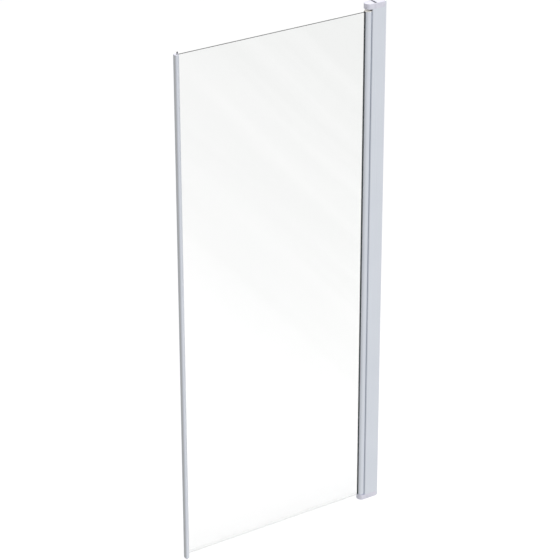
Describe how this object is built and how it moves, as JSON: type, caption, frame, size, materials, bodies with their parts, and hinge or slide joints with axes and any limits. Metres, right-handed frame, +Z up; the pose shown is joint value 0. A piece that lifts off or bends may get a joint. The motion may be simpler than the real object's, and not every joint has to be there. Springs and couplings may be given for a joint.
{
  "type": "shower door",
  "caption": "Frameless-looking glass swing door for a shower, hung from a slim wall profile by a full-height round column that rises on a cam as it opens.",
  "frame": {"origin": "on the wall plane at half the door's height, in the middle of the line of wall screw holes, in the plane of the glass", "axes": "+X into the wall, the closed door reaching towards -X; +Y into the shower, -Y into the room; +Z up"},
  "size_m": [0.8544, 0.0405, 2],
  "materials": {
    "anodised_aluminium": "bright silver anodised extrusion, fine lengthways grain",
    "cap_plastic": "silver-grey injection moulding, satin",
    "steel": "stainless steel, turned",
    "black_steel": "blackened steel, satin",
    "bearing_plastic": "natural acetal, moulded",
    "black_rubber": "dark grey extruded rubber, matt",
    "black_plastic": "black moulded plastic, matt",
    "safety_glass": "clear toughened glass, polished edges",
    "clear_plastic": "clear soft extruded plastic",
    "grey_plastic": "mid-grey plastic, satin",
    "magnet_rubber": "flexible magnet, dark brown"
  },
  "bodies": {
    "wall": {"wall_channel": "anodised_aluminium"},
    "upright": {"upright_profile": "anodised_aluminium", "top_hinge_cap": "cap_plastic", "bottom_hinge_cap": "cap_plastic", "top_end_cover": "cap_plastic", "bottom_end_cover": "cap_plastic", "cap_screws": "steel", "adjust_screws": "steel", "clamp_plates": "steel", "screw_covers": "cap_plastic", "cup_seals": "grey_plastic", "top_bush": "bearing_plastic", "thrust_washer": "bearing_plastic", "lower_cam": "bearing_plastic"},
    "pivot": {"top_pin": "steel", "bottom_pin": "steel"},
    "door": {"hinge_column": "anodised_aluminium", "upper_cam": "bearing_plastic", "cam_screws": "steel", "bottom_column_plug": "black_plastic", "top_column_plug": "bearing_plastic", "plug_screws": "black_steel", "glass_panel": "safety_glass", "front_glazing_gasket": "black_rubber", "back_glazing_gasket": "black_rubber", "glass_packers": "black_plastic", "edge_profile": "anodised_aluminium", "edge_liner": "clear_plastic", "magnet_strip": "grey_plastic", "magnet_core": "magnet_rubber", "edge_top_cap": "cap_plastic", "edge_bottom_cap": "cap_plastic", "grip_plugs": "black_plastic", "bottom_seal": "clear_plastic"}
  },
  "joints": [
    {"name": "width_adjust", "type": "slide", "parent": "wall", "child": "upright", "axis": [1, 0, 0], "range_m": [-0.015, 0.005]},
    {"name": "door_swing", "type": "hinge", "parent": "upright", "child": "pivot", "pos_m": [-0.0655, 0, 0], "axis": [0, 0, 1], "range_deg": [0, 90]},
    {"name": "door_lift", "type": "slide", "parent": "pivot", "child": "door", "axis": [0, 0, 1], "range_m": [0, 0.005]}
  ],
  "couplings": [
    {"joint": "door_lift", "follows": "door_swing", "m_per_rad": 0.003183}
  ]
}
